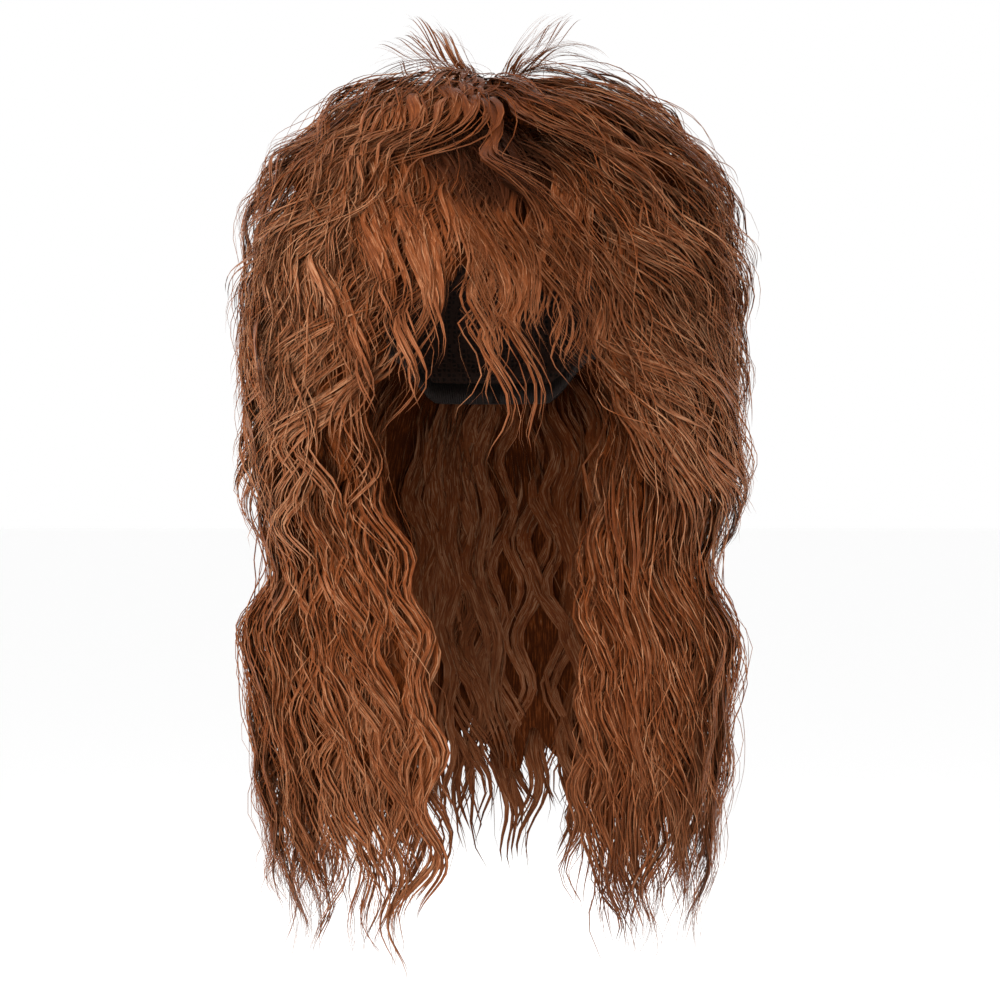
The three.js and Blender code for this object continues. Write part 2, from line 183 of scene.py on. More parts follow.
def innerForm(azimuth, run, fringe=False):
    # the head above, and below it an oval inside the outer one by the curtain's thickness
    rest = form["capWall"] + form["seat"]
    down = shareDown(run)
    settled = ease(down / 0.4)[..., None]
    front = 1 if fringe else levelAt("front", down)
    height = -form["widestDrop"] - down * columnHeight
    dome = onHead(azimuth, np.pi / 2 * np.minimum(1, run / domeRun), rest)
    below = onHead(azimuth, np.pi / 2, rest)
    below[..., 2] = mix(height + form["widestDrop"] - form["headDome"], height, settled[..., 0])
    curtain = onOval(
        azimuth,
        form["hairBreadth"] / 2 * levelAt("breadth", down) - form["sideThickness"],
        form["frontReach"] * front - form["frontThickness"],
        form["backReach"] * levelAt("back", down) - form["backThickness"],
        form["middleSetBack"],
        height,
    )
    return np.where((run <= domeRun)[..., None], dome, mix(below, curtain, settled))


def hairPoint(azimuth, run, depth, fringe=False):
    # the inner form's point at this azimuth and run, mixed with the outer form's by the depth
    return mix(innerForm(azimuth, run, fringe), outerForm(azimuth, run, fringe), depth[..., None])


def hemAt(column, azimuth):
    return readTable(hems, "azimuth", column, fromFace(azimuth))


def crownHem(azimuth):
    return domeRun * hemAt("crown", azimuth)


def layerHem(azimuth):
    return runTo(form["layerDrop"] * hemAt("layers", azimuth))


def lengthHem(azimuth):
    return runTo((form["tipDrop"] - form["pointLength"] / 2) * hemAt("lengths", azimuth))


def fringeHem(azimuth):
    return runTo(form["fringeBand"] * form["fringeDrop"]) + 0 * azimuth


def underCrown(azimuth, run):
    return readTable(rises, "past", "depth", (run - crownHem(azimuth)) / form["crownHides"])


def underLayers(azimuth, run):
    return readTable(rises, "past", "depth", (run - layerHem(azimuth)) / form["layersHide"])


def atTips(azimuth, run):
    return ease(1 + (run - lengthHem(azimuth)) / thinning["stretch"])


def lengthsOutside(azimuth, run):
    out = underLayers(azimuth, run + sooner["lengths"])
    return out - thinning["outer"] * atTips(azimuth, run)


def sideEdges(side):
    def edges(run):
        share = levelAt("openRight" if side < 0 else "openLeft", shareDown(run))
        return side * np.degrees(np.arcsin(share)), side * form["sideEnd"] + 0 * run

    return edges


def fixedEdges(start, stop):
    return lambda run: (start + 0 * run, stop + 0 * run)


# The tiers: the run where each begins to show, its hem, and the depths of its outer and inner sides
tiers = {
    "crown": {
        "start": lambda azimuth: 0 * azimuth,
        "hem": crownHem,
        "outer": lambda azimuth, run: 1 + 0 * run,
        "inner": underCrown,
    },
    "fringe": {
        "start": lambda azimuth: crownHem(azimuth) - fringeHiddenShare * form["crownHides"],
        "hem": fringeHem,
        "outer": lambda azimuth, run: fringeDepths["outer"] * underCrown(azimuth, run + sooner["fringe"]),
        "inner": lambda azimuth, run: fringeDepths["inner"] * ease(run / fringeHem(azimuth)),
    },
    "layers": {
        "start": lambda azimuth: crownHem(azimuth) - hiddenShare * form["crownHides"],
        "hem": layerHem,
        "outer": lambda azimuth, run: underCrown(azimuth, run + sooner["layers"]),
        "inner": underLayers,
    },
    "lengths": {
        "start": lambda azimuth: layerHem(azimuth) - hiddenShare * form["layersHide"],
        "hem": lengthHem,
        "outer": lengthsOutside,
        "inner": lambda azimuth, run: thinning["inner"] * atTips(azimuth, run),
    },
}


def unit(vectors):
    return vectors / np.maximum(np.linalg.norm(vectors, axis=-1, keepdims=True), 1e-12)


def closedBodies(rings, poles=None, wrap=False):
    # Each body is rows of rings of vertices, joined by two triangles a side. Its rows close on two poles,
    # on each other, or each end ring on itself, its first half against its second, as a sheet's rims do.
    count, rows, sides = rings.shape[:3]
    ids = np.arange(count * rows * sides).reshape(count, rows, sides)
    a = ids if wrap else ids[:, :-1]
    d = np.roll(ids, -1, axis=1) if wrap else ids[:, 1:]
    b, c = np.roll(a, -1, axis=2), np.roll(d, -1, axis=2)
    steps = a.shape[1]
    u = np.arange(sides) / sides + 0 * a
    v = np.arange(steps)[None, :, None] / steps + 0 * a
    uu, vv = u + 1 / sides, v + 1 / steps

    def corners(*pairs):
        return np.stack([np.stack(pair, -1) for pair in pairs], -2).reshape(-1, 3, 2)

    faces = [np.stack([a, b, c], -1).reshape(-1, 3), np.stack([a, c, d], -1).reshape(-1, 3)]
    maps = [corners((u, v), (uu, v), (uu, vv)), corners((u, v), (uu, vv), (u, vv))]
    body = [np.repeat(np.arange(count), steps * sides)] * 2
    vertices = [rings.reshape(-1, 3)]
    if poles is not None:
        edge = np.arange(sides) / sides + 0 * ids[:, 0]
        for number, (row, flip) in enumerate(((0, 1), (rows - 1, -1))):
            apex = ids.size + number * count + np.arange(count)[:, None] + 0 * ids[:, 0]
            one, two = ids[:, row], np.roll(ids[:, row], -1, axis=1)
            level = number + 0 * edge
            faces.append(np.stack([apex, two, one][::flip], -1).reshape(-1, 3))
            cap = corners((edge + 0.5 / sides, level), (edge + 1 / sides, level), (edge, level))
            maps.append(cap[:, ::flip])
            body.append(np.repeat(np.arange(count), sides))
            vertices.append(poles[number].reshape(-1, 3))
    elif not wrap:
        near = np.arange(sides // 2 - 1)
        far = sides - 1 - near
        for row, flip in ((0, 1), (rows - 1, -1)):
            one, two, three, four = (ids[:, row][:, pick] for pick in (near, near + 1, far - 1, far))
            for trio in ((one, three, two), (one, four, three)):
                faces.append(np.stack(trio[::flip], -1).reshape(-1, 3))
                maps.append(np.full((len(faces[-1]), 3, 2), float(row > 0)))
                body.append(np.repeat(np.arange(count), len(near)))
    return {
        "vertices": np.concatenate(vertices),
        "faces": np.concatenate(faces),
        "uv": np.concatenate(maps),
        "body": np.concatenate(body),
    }


strandStep = 0.37  # between the numbers of neighbouring strands, so that their streaks differ
creasedBelow = 0.3  # the flatness under which a strand's two rims are creased


def strandBodies(paths, outward, width, look):
    # A three-sided section carried along each path. It is turned by the path's tangent and the way out
    # of the head, flattened, as wide as width says, and closed to a point at each end.
    along = unit(np.gradient(paths, axis=1))
    across = unit(np.cross(along, outward))
    lift = np.cross(across, along)
    turn = np.pi / 2 + np.arange(3) * 2 * np.pi / 3
    sideways = (np.cos(turn) * width[:, :, None] / 2)[..., None] * across[:, :, None]
    upwards = (np.sin(turn) * width[:, :, None] / 2 * look["flatness"])[..., None] * lift[:, :, None]
    rings = (paths[:, :, None] + sideways + upwards)[:, 1:-1]
    part = closedBodies(rings, poles=(paths[:, 0], paths[:, -1]))
    count, samples = paths.shape[:2]
    steps = np.linalg.norm(np.diff(paths, axis=1), axis=-1)
    length = np.concatenate([np.zeros((count, 1)), np.cumsum(steps, 1)], 1)

    def onVertices(values):  # a strand's values at its samples, in the vertices' order
        return np.concatenate([np.repeat(values[:, 1:-1].ravel(), 3), values[:, 0], values[:, -1]])

    widest = np.cos(turn) * look["width"] / 2
    place = np.concatenate([np.tile(widest, count * (samples - 2)), np.zeros(2 * count)])
    number = np.arange(count)[:, None] * strandStep + 0 * length
    part["fibre"] = np.stack([place, onVertices(length), onVertices(number)], -1)
    part["shade"] = np.stack([onVertices(value) for value in look["shade"]], -1)
    rim = [0, 1, 2] if look["flatness"] < creasedBelow else [0, 0, 0]
    part["rim"] = np.concatenate([np.tile(rim, count * (samples - 2)), np.zeros(2 * count, int)])
    return part


def puffing(azimuth, run):
    # How far the crown's hair stands up: the azimuth's sine, so most at both sides of the whorl, times
    # a rise and a fall along the run, with its top a quarter of the way to the widest level
    sideOn = np.abs(np.sin(np.radians(azimuth)))
    return sideOn * ease(run / 0.035) * fadeOut(run, 0.06, 0.08)


def wavePhase(azimuth):
    # turns slowly round the head, so that neighbours stay nearly in step
    a = np.radians(azimuth)
    return 2.2 * np.sin(a) + 1.6 * np.cos(2 * a)


# Each lock's strands are of three sizes, from its broad bundles to its strays
strandSizes = {
    "count": (6, 3, 2),
    "fineness": (0.82, 0.8, 0.66),  # samples along one, as a share of the lock's
    "width": (0.0044, 0.0014, 0.0007),
    "flatness": (0.14, 0.5, 0.8),  # the section's height as a share of its width
    "spread": (1.0, 1.3, 1.9),  # in the lock's radius
    "scatter": (0.16, 0.35, 0.9),  # out of step with the lock
    "crimp": (0, 0.0012, 0.003),
    "short": (0.3, 0.35, 0.35),  # how much shorter than the lock some are
    "proud": (0.0, 0.0016, 0.006),
    "tone": (0, 0.1, 0.45),
    "tint": (0.25, 0.5, 0.5),  # the scatter of its tone
}

# How every lock and strand lies, in metres, in degrees from the face, and in shares and powers
habit = {
    "crowding": 1.5,  # a power that crowds random depths and roots
    "nearestLock": 0.008,  # to the whorl
    "nearestStrand": 0.006,
    "shortest": 0.035,
    "pastTips": 0.014,  # how far below the solids' tips a lock may end
    "frontSpread": 75,  # how far round the crown's front the locks are longer
    "insideDepth": 0.15,
    "lengthRange": (0.75, 1.2),
    "sizeRange": (0.6, 1.4),  # of locks and their waves
    "waveScatter": 0.15,
    "waveRange": (0.75, 1.4),
    "tintScatter": 0.35,
    "tintRange": (-0.6, 0.6),
    "puffPower": 0.6,
    "pinnedLocks": 3,  # that fall together at each pinned place
    "pinnedScatter": 0.06,
    "rootScatter": 0.005,
    "leanScatter": 0.0025,
    "widthScatter": 0.25,
    "sweepIn": 8,
    "sweepFade": (35, 70),
    "sweepPower": 1.3,
    "risePower": 1.6,  # how fast a lock rises from its root's depth
    "flickFrom": 0.4,
    "archPower": 0.8,
    "waveAtRoot": 0.25,
    "waveGrown": 0.35,
    "crimpStretch": 1.4,  # the crimp's wave as a multiple of the lock's
    "bendTurn": 5,
    "leanPower": 1.4,
    "outwardWave": 0.55,
    "outwardLead": 1.9,
    "outwardGather": 0.22,
    "stillRun": 0.03,  # from the whorl, where nothing sways yet
    "capClearance": 0.001,
    "rootTaper": (0.02, 0.3),
    "tipTaper": (2.8, 0.75),
    # the painted shade at the parting: where it starts to fade and over how far, in degrees from the face
    # and in metres of run from the whorl
    "partingShadeFade": (0, 28),
    "partingShadeRun": (0.125, 0.09),
}


def layLocks(tier, edges, plan, rng):
    # One row of values for each lock: where it starts, how far it runs, how deep it lies, and its wave
    count = plan["locks"]
    across = rng.permutation((np.arange(count) + rng.random(count)) / count) ** plan["faceward"]
    turned = 2 * across - 1
    across = 0.5 + 0.5 * np.sign(turned) * np.abs(turned) ** plan["frontward"]
    middle = mix(*[edge[0] for edge in edges(np.array([plumbRun]))], across)
    start, hem = tier["start"](middle), tier["hem"](middle)
    inside = rng.random(count) < plan["inside"]
    rootShare = mix(plan["rootTop"], plan["rootBottom"], rng.random(count) ** plan["rootPower"])
    rootShare = np.where(inside, 0.5 * rng.random(count) ** habit["crowding"], rootShare)
    root = np.maximum(mix(start, hem, rootShare), habit["nearestLock"])
    reach = hem + mix(plan["undershoot"], 1, rng.random(count)) * plan["overshoot"] - root
    reach = reach + plan["frontExtra"] * fadeOut(fromFace(middle), 0, habit["frontSpread"])
    reach = np.maximum(reach * (1 - plan["shortness"] * rng.random(count) ** 2), habit["shortest"])
    longest = plan["maxLength"] * rng.uniform(*habit["lengthRange"], count)
    longest = np.minimum(longest, runTo(form["tipDrop"] + habit["pastTips"]) - root)
    depth = 1 - plan["bury"] * rng.random(count) ** habit["crowding"]
    locks = {
        "across": across,
        "middle": middle,
        "root": root,
        "length": np.minimum(reach, longest),
        "depth": np.where(inside, habit["insideDepth"] * rng.random(count), depth),
        "rootDepth": np.where(inside, 0, plan["rootDepth"]),
        "flick": np.where(rng.random(count) < plan["flicked"], rng.random(count), 0) * plan["flick"],
        "waveLength": plan["waveLength"]
        * np.clip(1 + habit["waveScatter"] * rng.normal(size=count), *habit["waveRange"]),
        "waveHeight": plan["waveHeight"] * rng.uniform(*habit["sizeRange"], count),
        "phase": wavePhase(middle) + rng.normal(0, plan["outOfStep"], count),
        "lean": rng.normal(0, plan["lean"], count),
        "bend": rng.normal(0, plan["bend"], count),
        "bendFrom": rng.uniform(0, 2 * np.pi, count),
        "arch": np.zeros(count),
        "broad": np.full(count, plan["broad"]),
        "puff": plan["puff"] * rng.random(count) ** habit["puffPower"],
        "radius": plan["lockRadius"] * rng.uniform(*habit["sizeRange"], count),
        "tint": plan["tone"] + np.clip(rng.normal(0, habit["tintScatter"], count), *habit["tintRange"]),
    }
    for key, values in plan["pinned"].items():
        held = np.repeat(values, habit["pinnedLocks"])
        scatter = rng.normal(0, habit["pinnedScatter"], len(held)) * np.ptp(held)
        locks[key][: len(held)] = held + scatter
    return locks


def growStrands(tier, edges, plan, locks, size, rng):
    # A strand's path is the hair's form at its azimuth, run and depth, moved sideways and outwards by
    # sines of its run that its whole lock shares. A lock's strands draw together towards its tip.
    lock = {key: np.repeat(values, size["count"])[:, None] for key, values in locks.items()}
    total = len(lock["root"])

    def rolls(spread):
        return rng.normal(0, spread, total)[:, None]

    s = np.linspace(0, 1, round(plan["samples"] * size["fineness"]))[None, :]
    root = np.maximum(lock["root"] + rolls(habit["rootScatter"]), habit["nearestStrand"])
    length = lock["length"] * (1 - size["short"] * plan["uneven"] * rng.random(total)[:, None])
    run = root + length * s
    hank = (np.floor(lock["across"] * plan["hanks"]) + 0.5) / plan["hanks"]
    across = mix(lock["across"], hank, plan["hankPull"] * (lock["rootDepth"] > 0) * ease(s))
    azimuth = mix(*edges(run), across)
    face = fromFace(azimuth) + plan["parting"]
    swept = plan["sweep"] * np.sign(lock["middle"]) * ease(face / habit["sweepIn"])
    swept = swept * fadeOut(face, *habit["sweepFade"])
    azimuth = azimuth + swept * (s ** habit["sweepPower"] - plan["partedFrom"])

    flicking = ease((s - habit["flickFrom"]) / (1 - habit["flickFrom"]))
    profile = lock["depth"] - lock["rootDepth"] * (1 - s) ** habit["risePower"] + lock["flick"] * flicking
    profile = profile + lock["arch"] * np.sin(np.pi * s ** habit["archPower"])
    outer, inner = tier["outer"](azimuth, run), tier["inner"](azimuth, run)
    depth = mix(inner, np.maximum(outer, inner + plan["least"]), profile)

    turn = 2 * np.pi * run / lock["waveLength"] + lock["phase"] + rolls(size["scatter"])
    crimp = 2 * np.pi * run / (habit["crimpStretch"] * lock["waveLength"])
    crimp = crimp + rng.uniform(0, 2 * np.pi, total)[:, None]
    height = lock["waveHeight"] * mix(habit["waveAtRoot"], 1, ease(s / habit["waveGrown"]))
    spot = rng.uniform(0, 2 * np.pi, total)[:, None]
    gather = size["spread"] * np.sqrt(rng.random(total))[:, None] * lock["radius"]
    gather = gather * (1 - plan["gather"] * ease(s))
    sideways = height * np.sin(turn) + size["crimp"] * np.sin(crimp) + gather * np.cos(spot)
    bend = np.sin(habit["bendTurn"] * s + lock["bendFrom"]) - np.sin(lock["bendFrom"])
    lean = (lock["lean"] + rolls(habit["leanScatter"])) * s ** habit["leanPower"]
    sideways = (sideways + lean + lock["bend"] * bend) * ease(run / habit["stillRun"])
    outwards = habit["outwardWave"] * height * np.sin(turn + habit["outwardLead"])
    outwards = outwards + size["crimp"] * np.cos(crimp) + habit["outwardGather"] * gather * np.sin(spot)
    outwards = outwards + size["proud"] * rng.random(total)[:, None]
    outwards = outwards + lock["puff"] * puffing(azimuth, run)

    fringe = tier is tiers["fringe"]
    step = 0.5  # degrees, to find the way across the strand
    ahead, behind = (hairPoint(azimuth + turned, run, depth, fringe) for turned in (step, -step))
    thickness = outerForm(azimuth, run, fringe) - innerForm(azimuth, run, fringe)
    side, out = unit(ahead - behind), unit(thickness)
    outwards = np.maximum(outwards, habit["capClearance"] - depth * np.linalg.norm(thickness, axis=-1))
    paths = hairPoint(azimuth, run, depth, fringe) + sideways[..., None] * side + outwards[..., None] * out

    (past, stretch), (power, fullness) = habit["rootTaper"], habit["tipTaper"]
    width = size["width"] * lock["broad"] * rng.lognormal(0, habit["widthScatter"], total)[:, None]
    width = width * ease((s + past) / stretch) * (1 - s**power) ** fullness
    # painted shade: near the front of the parting, strands are darker in tone and lower in level, for the
    # dark hollow there
    partingShadeMask = fadeOut(fromFace(azimuth), *habit["partingShadeFade"]) * fadeOut(run, *habit["partingShadeRun"])
    tint = lock["tint"] + size["tone"] + rolls(size["tint"]) + plan["partingPaintedShade"] * partingShadeMask
    level = depth - plan["partingShadeDepth"] * partingShadeMask
    shade = (s ** plan["rootShade"] + 0 * run, tint, level)
    look = {"width": size["width"], "flatness": size["flatness"], "shade": shade}
    return strandBodies(paths, out, width, look)


# What the masses have in common, in metres and in shares of the tier's depth
massHabit = {
    "leastDepth": 0.05,
    "fill": 0.76,  # where its outer side lies
    "lining": 0.1,  # where its inner side lies
    "leastWall": (0.04, 0.05),  # along the furrows, and at the rims
    "points": 1,  # times the solids' own
    "unevenPoints": 0.4,
    "puff": 0,
    "furrowDepth": 0.007,
    "dipDepth": 0.003,
    "dipLength": 0.06,
    "sway": 0.0055,
    "swayLength": 0.072,
    "rim": 0.12,  # the share of its breadth in which each side thins
    "inset": (0.07, 0.97),  # of the tier's breadth
    "hemFade": (0.9, 0.1),
    "poleGap": 0.03,
    # painted shade: a low tone, here and in each piece's mass, and a shade held near the dark root colour
    # darken the mat as the shade under the strands
    "tone": -1.5,
    "shade": (0.1, 0.3),  # from root to tip: at the top, and its gain
    "depthShade": 0.8,
    "number": 50,  # apart from the strands' numbers
}


def swayDegrees(azimuth, run):
    # a sine of the run, in degrees at the hair's half breadth
    swing = massHabit["sway"] * np.sin(2 * np.pi * run / massHabit["swayLength"] + wavePhase(azimuth))
    return np.degrees(swing / (form["hairBreadth"] / 2)) * ease(run / domeRun)


def massBody(tier, edges, plan):
    # The mass under the strands is a surface of two parameters, across the locks and along them. It has
    # an outer and an inner side, both inside the tier, and furrows between its ridges. Round the crown
    # it is a dome whose rings go down its outside and up its inside. Elsewhere it is a sheet.
    plan, fringe = {**massHabit, **plan}, tier is tiers["fringe"]
    rows, columns = plan["rows"], plan["columns"]
    there, down = np.linspace(0, 1, columns), np.linspace(0, 1, rows)
    if edges is None:
        across = (there * (columns - 1) / columns)[None, :]
        down = down * (1 - plan["poleGap"]) + plan["poleGap"]
        along = np.concatenate([down, down[::-1]])[:, None]
        outside = (np.arange(2 * rows) < rows)[:, None]
        middle = azimuth = mix(-180, 180, across) + 0 * along
    else:
        across, along = np.concatenate([there, there[::-1]])[None, :], down[:, None]
        outside = (np.arange(2 * columns) < columns)[None, :]
        middle = mix(*edges(np.array([[plumbRun]])), across) + 0 * along
    lock = across * plan["ridges"]
    ridge = np.abs(np.sin(np.pi * lock))
    uneven = np.sin(np.floor(lock) * 2.4 + 0.7)  # makes each ridge's point a different length
    start = 0 if edges is None else tier["start"](middle)
    pointed = ridge - 0.5 + plan["unevenPoints"] * ridge * uneven
    point = plan["points"] * form["pointLength"] * pointed
    run = mix(start, tier["hem"](middle) - plan["held"] + point, along)
    if edges is not None:
        azimuth = mix(*edges(run), mix(*plan["inset"], across))
    azimuth = azimuth + swayDegrees(middle, run)

    low = tier["inner"](azimuth, run)
    high = np.maximum(tier["outer"](azimuth, run), low + plan["leastDepth"])
    thickness = np.linalg.norm(outerForm(azimuth, run, fringe) - innerForm(azimuth, run, fringe), axis=-1)
    dip = 1 + np.sin(2 * np.pi * run / plan["dipLength"] + 2.1 * np.floor(lock))
    furrow = plan["furrowDepth"] * (1 - ridge) + plan["dipDepth"] * dip
    rim = 1 if edges is None else ease(np.minimum(across, 1 - across) / plan["rim"])
    fade = rim * fadeOut(along, *plan["hemFade"])
    least, rimWall = plan["leastWall"]
    top = mix(low, high, mix(plan["lining"] + rimWall, plan["fill"], fade)) - furrow / thickness
    top = np.maximum(top, mix(low, high, plan["lining"] + least))
    top = top + plan["puff"] * puffing(azimuth, run) / thickness
    depth = np.where(outside, top, mix(low, high, plan["lining"]))
    poles = None
    if edges is None:
        ends = hairPoint(np.zeros(2), np.zeros(2), np.array([0.6, 0.1]))
        poles = (ends[:1], ends[1:])
    part = closedBodies(hairPoint(azimuth, run, depth, fringe)[None], poles)
    spread = np.radians(azimuth) * form["hairBreadth"] / 2
    shadeAtTop, shadeGain = plan["shade"]
    fibre = np.stack([spread, run, 0 * run + plan["number"]], -1).reshape(-1, 3)
    # painted shade: the mat's colour stays near the root's, with a low tone, and darkens with its depth
    fromRoot, tone = shadeAtTop + shadeGain * along + 0 * run, 0 * run + plan["tone"]
    shade = np.stack([fromRoot, tone, plan["depthShade"] * depth], -1)
    missing = len(part["vertices"]) - len(fibre)  # the poles
    part["fibre"] = np.concatenate([fibre, np.tile([[0, 0, plan["number"]]], (missing, 1))])
    part["shade"] = np.concatenate([shade.reshape(-1, 3), np.tile([[0, -0.5, 0.5]], (missing, 1))])
    part["rim"] = np.zeros(len(part["vertices"]), int)
    return part


mapLook = {"slender": 40, "few": 4, "margins": (0.04, 0.02)}


def placeInMap(part, low, high):
    # Each body's own map goes into a cell of its own, in a band of the unit square. A strand is long and
    # thin, so many cells go in a row.
    bodies = int(part["body"].max()) + 1
    columns = int(np.ceil(np.sqrt(bodies * mapLook["slender"]))) if bodies > mapLook["few"] else bodies
    rows = int(np.ceil(bodies / columns))
    column, row = part["body"] % columns, part["body"] // columns
    marginU, marginV = mapLook["margins"]
    u = (column[:, None] + marginU + (1 - 2 * marginU) * part["uv"][..., 0]) / columns
    v = low + (high - low) * (row[:, None] + marginV + (1 - 2 * marginV) * part["uv"][..., 1]) / rows
    return np.stack([u, v], -1)


def addObject(name, data):
    made = bpy.data.objects.new(name, data)
    bpy.context.scene.collection.objects.link(made)
    return made


def makePiece(name, parts, materials):
    # Joins the bodies into one mesh whose vertices carry where they lie on a fibre and how it is shaded.
    # The first part has the first material, and the rest have the last.
    starts = np.cumsum([0] + [len(part["vertices"]) for part in parts])
    bands = np.linspace(0, 1, len(parts) + 1)
    faces, maps = [], []
    for part, start, low, high in zip(parts, starts, bands, bands[1:]):
        corners, cells = part["faces"] + start, placeInMap(part, low, high)
        a, b, c = part["vertices"][part["faces"]].transpose(1, 0, 2)
        insideOut = (a * np.cross(b, c)).sum() < 0
        faces.append(corners[:, ::-1] if insideOut else corners)
        maps.append(cells[:, ::-1] if insideOut else cells)
    faces, maps = np.concatenate(faces), np.concatenate(maps)
    vertices = np.concatenate([part["vertices"] for part in parts])
    mesh = bpy.data.meshes.new(name)
    mesh.vertices.add(len(vertices))
    mesh.vertices.foreach_set("co", vertices.astype(np.float32).ravel())
    mesh.loops.add(faces.size)
    mesh.loops.foreach_set("vertex_index", faces.astype(np.int32).ravel())
    mesh.polygons.add(len(faces))
    mesh.polygons.foreach_set("loop_start", np.arange(0, faces.size, 3, dtype=np.int32))
    mesh.polygons.foreach_set("use_smooth", np.ones(len(faces), bool))
    for key in ("fibre", "shade"):
        values = np.concatenate([part[key] for part in parts]).astype(np.float32)
        mesh.attributes.new(key, "FLOAT_VECTOR", "POINT").data.foreach_set("vector", values.ravel())
    mesh.uv_layers.new(name="OFBake").uv.foreach_set("vector", maps.astype(np.float32).ravel())
    mesh.update(calc_edges=True)
    ends = np.empty(2 * len(mesh.edges), np.int32)
    mesh.edges.foreach_get("vertices", ends)
    rims = np.concatenate([part["rim"] for part in parts])[ends.reshape(-1, 2)]
    creased = (rims[:, 0] == rims[:, 1]) & (rims[:, 0] > 0)
    mesh.attributes.new("sharp_edge", "BOOLEAN", "EDGE").data.foreach_set("value", creased)
    for material in materials:
        mesh.materials.append(material)
    which = np.concatenate([np.full(len(part["faces"]), index) for index, part in enumerate(parts)])
    mesh.polygons.foreach_set("material_index", np.minimum(which, len(materials) - 1).astype(np.int32))
    piece = addObject(name, mesh)
    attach(piece, "root")
    print(name, len(faces), "triangles")
    return piece


def linear(hexColour):
    channels = [int(hexColour[i : i + 2], 16) / 255 for i in (1, 3, 5)]
    return [c / 12.92 if c <= 0.04045 else ((c + 0.055) / 1.055) ** 2.4 for c in channels] + [1]


def setInputs(tree, node, inputs):
    for key, value in dict(inputs).items():
        if isinstance(value, bpy.types.NodeSocket):
            tree.links.new(value, node.inputs[key])
        else:
            node.inputs[key].default_value = value


def addNode(tree, kind, settings=(), inputs=()):
    node = tree.nodes.new(kind)
    for key, value in dict(settings).items():
        setattr(node, key, value)
    setInputs(tree, node, inputs)
    return node


def readAttribute(tree, name):
    return addNode(tree, "ShaderNodeAttribute", {"attribute_name": name}).outputs["Vector"]


def mixColours(tree, share, first, second):
    blend = {"data_type": "RGBA", "blend_type": "MIX"}
    return addNode(tree, "ShaderNodeMix", blend, {0: share, 6: first, 7: second}).outputs[2]


def newMaterial(name):
    material = bpy.data.materials.new(name)
    material.use_nodes = True
    return material, material.node_tree, material.node_tree.nodes["Principled BSDF"]


# Modacrylic fibre, steam-crimped: a soft, broken sheen along its waves, and colour that is dark at the
# roots and warmer towards the tips, with painted shade in the depths of the hair. A streak's tone moves
# the colour towards the light or the dark one, and its depth towards the painted shade: over what
# range, and how far.
fibreLook = {
    "root": "#2a1004",
    "middle": "#6f3615",
    "middleAt": 0.28,
    "tip": "#7d482b",
    "dark": "#4f2715",
    # painted shade: the mat's dark colour, deeper than the strands', for the shade under them
    "matDark": "#35180b",
    "light": "#a27657",
    "paintedShade": "#2a1208",
    "towardsLight": (0.0, 2.4, 0.8),
    "towardsDark": (0.0, -2.4, 0.85),
    "towardsPaintedShade": (0.3, -0.7, 0.85),
    "gloss": "#d29a74",
    "pitch": 0.0007,  # metres between streaks, ten times a real fibre's so that they show
    "streakLength": 0.014,
    "streakContrast": 16,
    "strandScale": 7,  # how fast the streaks change with a strand's number
    "noise": {"Scale": 1, "Detail": 3, "Roughness": 0.7},
    "roughness": 0.42,
    "bumpStrength": 0.6,
    "sheenRoughness": 0.4,
}


def crimpedFibre(name, pitch, relief, gloss, darkest):
    material, tree, shader = newMaterial(name)
    shade = {0: readAttribute(tree, "shade")}
    along, tint, level = addNode(tree, "ShaderNodeSeparateXYZ", inputs=shade).outputs
    lengthwise = addNode(tree, "ShaderNodeValToRGB", inputs={0: along})
    ramp = lengthwise.color_ramp
    ramp.elements[0].color, ramp.elements[1].color = linear(fibreLook["root"]), linear(fibreLook["tip"])
    ramp.elements.new(fibreLook["middleAt"]).color = linear(fibreLook["middle"])
    scale = (1 / pitch, 1 / fibreLook["streakLength"], fibreLook["strandScale"])
    scaled = addNode(tree, "ShaderNodeMapping", inputs={0: readAttribute(tree, "fibre"), 3: scale})
    pattern = {"Vector": scaled.outputs[0], **fibreLook["noise"]}
    noise = addNode(tree, "ShaderNodeTexNoise", inputs=pattern)
    contrast = fibreLook["streakContrast"]
    spread = {0: noise.outputs[0], 1: contrast, 2: -contrast / 2}
    streak = addNode(tree, "ShaderNodeMath", {"operation": "MULTIPLY_ADD"}, spread)
    tone = addNode(tree, "ShaderNodeMath", {"operation": "ADD"}, {0: streak.outputs[0], 1: tint})

    def towards(colour, other, value, way):
        start, end, most = fibreLook[way]
        share = addNode(tree, "ShaderNodeMapRange", inputs={0: value, 1: start, 2: end, 3: 0, 4: most})
        return mixColours(tree, share.outputs[0], colour, linear(fibreLook[other]))

    colour = towards(lengthwise.outputs[0], "light", tone.outputs[0], "towardsLight")
    colour = towards(colour, darkest, tone.outputs[0], "towardsDark")
    # painted shade: the deeper a vertex lies, the more of the painted shade colour it takes
    colour = towards(colour, "paintedShade", level, "towardsPaintedShade")
    raised = {"Height": noise.outputs[0], "Distance": relief, "Strength": fibreLook["bumpStrength"]}
    look = {
        "Base Color": colour,
        "Normal": addNode(tree, "ShaderNodeBump", inputs=raised).outputs[0],
        "Roughness": fibreLook["roughness"],
        "IOR": 1.45,
        "Specular IOR Level": gloss,
        "Specular Tint": linear(fibreLook["gloss"]),
        "Sheen Weight": 0.5 * gloss,
        "Sheen Roughness": fibreLook["sheenRoughness"],
        "Sheen Tint": linear(fibreLook["gloss"]),
    }
    setInputs(tree, shader, look)
    return material


# The mat lies in the strands' shade, so its streaks are coarser and darker, a painted shade, and it has no
# gloss
looseFibre = crimpedFibre(
    "crimpedModacrylicStrands", pitch=fibreLook["pitch"], relief=0.0004, gloss=0.2, darkest="dark"
)
mattedFibre = crimpedFibre(
    "crimpedModacrylicMat", pitch=2 * fibreLook["pitch"], relief=0.0015, gloss=0.0, darkest="matDark"
)

